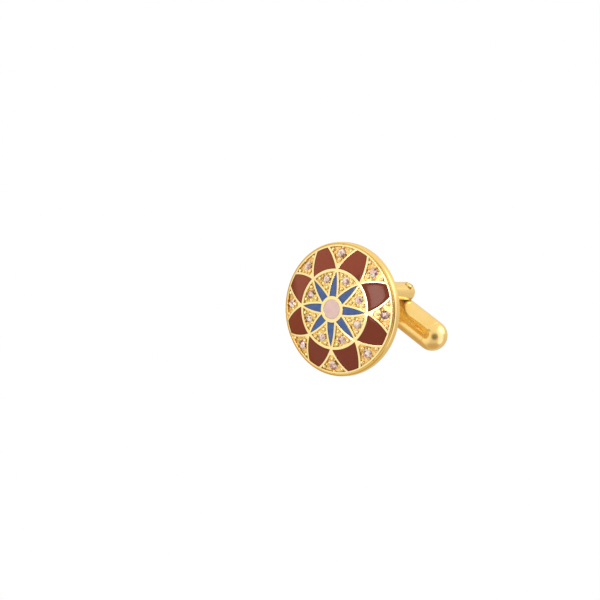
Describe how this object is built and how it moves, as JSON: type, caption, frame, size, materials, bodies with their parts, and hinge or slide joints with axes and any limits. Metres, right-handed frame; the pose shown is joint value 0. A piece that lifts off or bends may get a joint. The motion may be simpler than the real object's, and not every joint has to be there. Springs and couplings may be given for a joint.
{
  "type": "cufflink",
  "caption": "Round cufflink with a domed enamelled and stone-set head, a forked post and a swivel bar that turns in line with the post to pass a cuff.",
  "frame": {"origin": "centre of the flat enamel in the middle of the face", "axes": "-Y out of the face, +Y along the post to the hinge pin, Z along the hinge pin, X along the swivel bar at rest"},
  "size_m": [0.0184, 0.0181, 0.018],
  "materials": {
    "cast_gold": "gold-plated casting, polished on the face and edge, satin in the recess",
    "polished_gold": "high-polish gold plate",
    "gold_solder": "rough plated solder",
    "bare_brass": "turned",
    "spring_steel": "drawn wire",
    "pink_enamel": "glossy enamel",
    "blue_enamel": "glossy enamel",
    "red_enamel": "glossy enamel",
    "pink_stone": "brilliant cut"
  },
  "bodies": {
    "head": {"face_casting": "cast_gold", "centre_enamel": "pink_enamel", "blue_enamel_1": "blue_enamel", "blue_enamel_2": "blue_enamel", "blue_enamel_3": "blue_enamel", "blue_enamel_4": "blue_enamel", "blue_enamel_5": "blue_enamel", "blue_enamel_6": "blue_enamel", "blue_enamel_7": "blue_enamel", "blue_enamel_8": "blue_enamel", "red_enamel_1": "red_enamel", "red_enamel_2": "red_enamel", "red_enamel_3": "red_enamel", "red_enamel_4": "red_enamel", "red_enamel_5": "red_enamel", "red_enamel_6": "red_enamel", "red_enamel_7": "red_enamel", "red_enamel_8": "red_enamel", "inner_stone_1": "pink_stone", "inner_stone_2": "pink_stone", "inner_stone_3": "pink_stone", "inner_stone_4": "pink_stone", "inner_stone_5": "pink_stone", "inner_stone_6": "pink_stone", "inner_stone_7": "pink_stone", "inner_stone_8": "pink_stone", "outer_stone_1": "pink_stone", "outer_stone_2": "pink_stone", "outer_stone_3": "pink_stone", "outer_stone_4": "pink_stone", "outer_stone_5": "pink_stone", "outer_stone_6": "pink_stone", "outer_stone_7": "pink_stone", "outer_stone_8": "pink_stone", "post_solder": "gold_solder", "fork_post": "polished_gold", "hinge_pin": "polished_gold"},
    "bar": {"bar_tube": "polished_gold", "bar_cap": "polished_gold", "friction_plug": "bare_brass", "plug_spring": "spring_steel"}
  },
  "joints": [
    {"name": "bar_swivel", "type": "hinge", "parent": "head", "child": "bar", "pos_m": [0, 0.016, 0], "axis": [0, 0, 1], "continuous": true}
  ]
}
